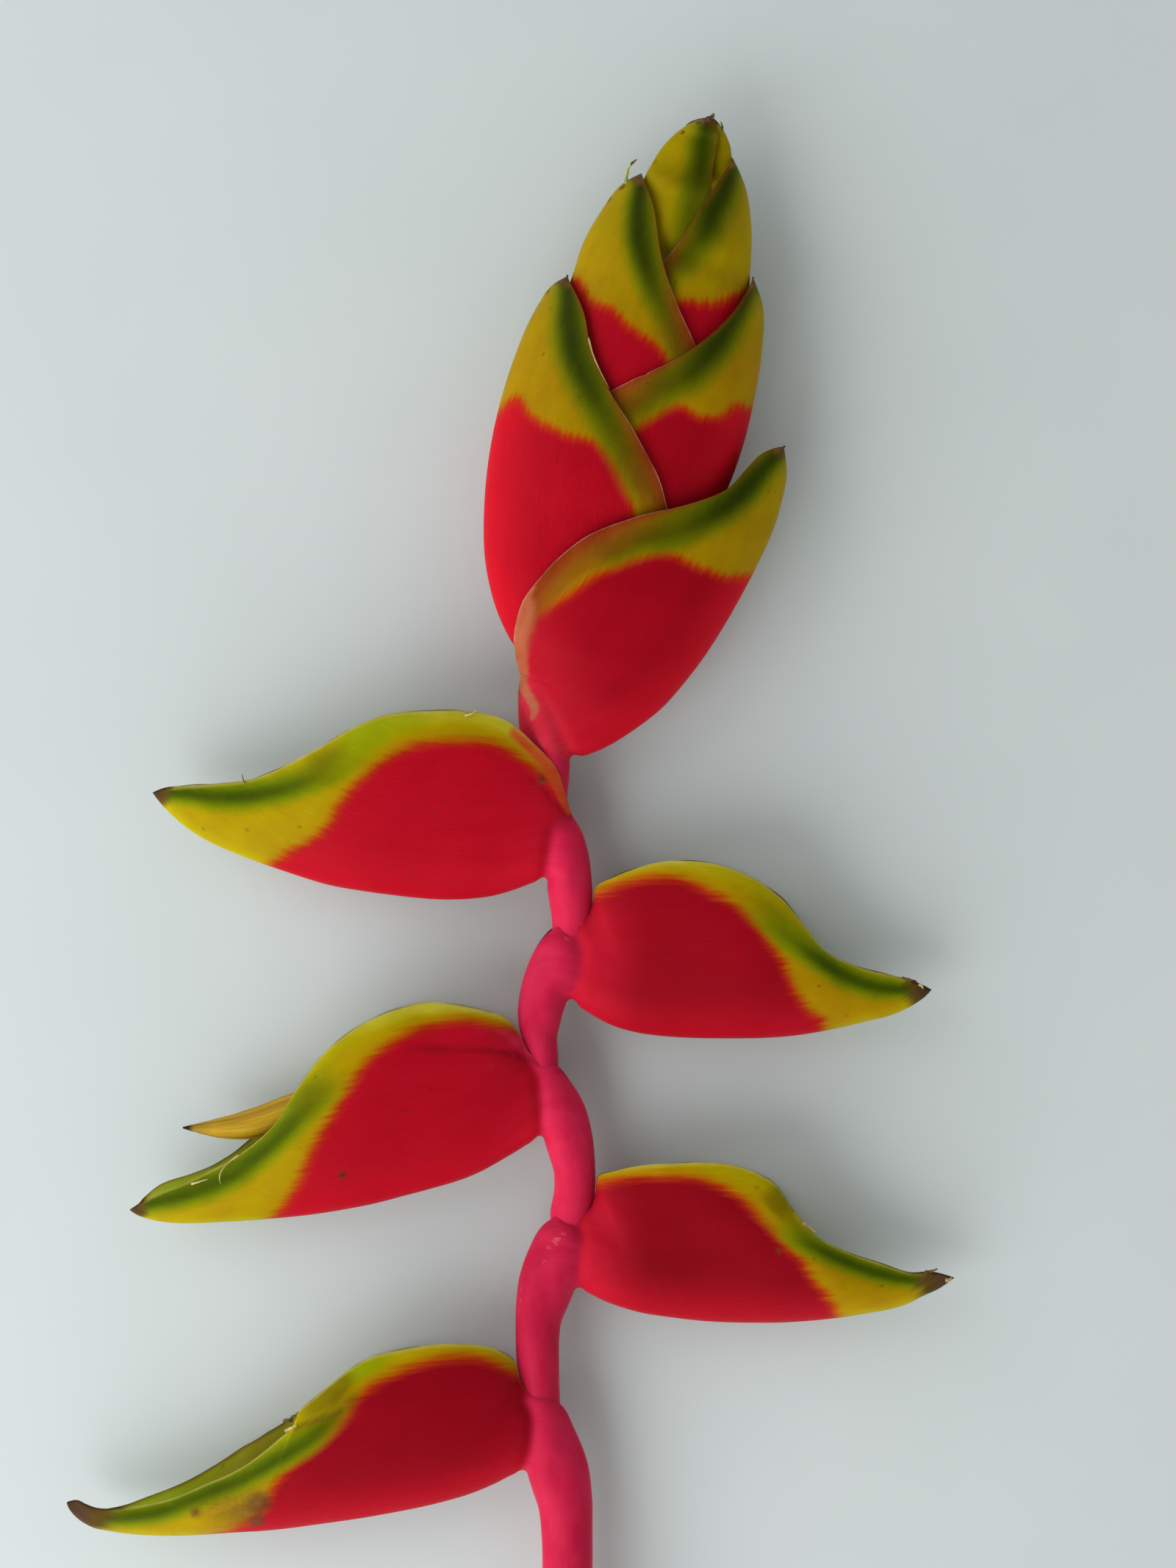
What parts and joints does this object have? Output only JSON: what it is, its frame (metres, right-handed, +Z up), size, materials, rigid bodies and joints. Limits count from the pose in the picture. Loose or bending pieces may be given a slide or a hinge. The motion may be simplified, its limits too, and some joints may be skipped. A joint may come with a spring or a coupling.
{
  "type": "hanging heliconia flower",
  "caption": "Cut inflorescence lying on its side: a zigzag stem with boat-shaped red and yellow bracts, open and holding flowers lower down, folded into a spike at the top",
  "frame": {"origin": "On the surface the flower lies on, under the middle of its outline seen from above", "axes": "+Z up from the surface, +Y from the cut end of the stem to the apex of the spike, +X to the right seen from above with the apex away from the viewer"},
  "size_m": [0.1928, 0.3508, 0.0295],
  "materials": {
    "stem": "satin",
    "open_bract": "satin",
    "folded_bract": "satin",
    "flower": "satin"
  },
  "bodies": {
    "root": {"rachis": "stem", "bract_01": "open_bract", "bract_02": "open_bract", "bract_03": "open_bract", "bract_04": "open_bract", "bract_05": "open_bract", "bract_06": "folded_bract", "bract_07": "folded_bract", "bract_08": "folded_bract", "bract_09": "folded_bract", "bract_10": "folded_bract", "bract_11": "folded_bract", "bract_12": "folded_bract", "flower_1a": "flower", "flower_1b": "flower", "flower_1c": "flower", "flower_2a": "flower", "flower_2b": "flower", "flower_2c": "flower", "flower_3a": "flower", "flower_3b": "flower", "flower_3c": "flower", "flower_4a": "flower", "flower_4b": "flower", "flower_4c": "flower", "flower_5a": "flower", "flower_5b": "flower", "flower_5c": "flower"}
  },
  "joints": []
}
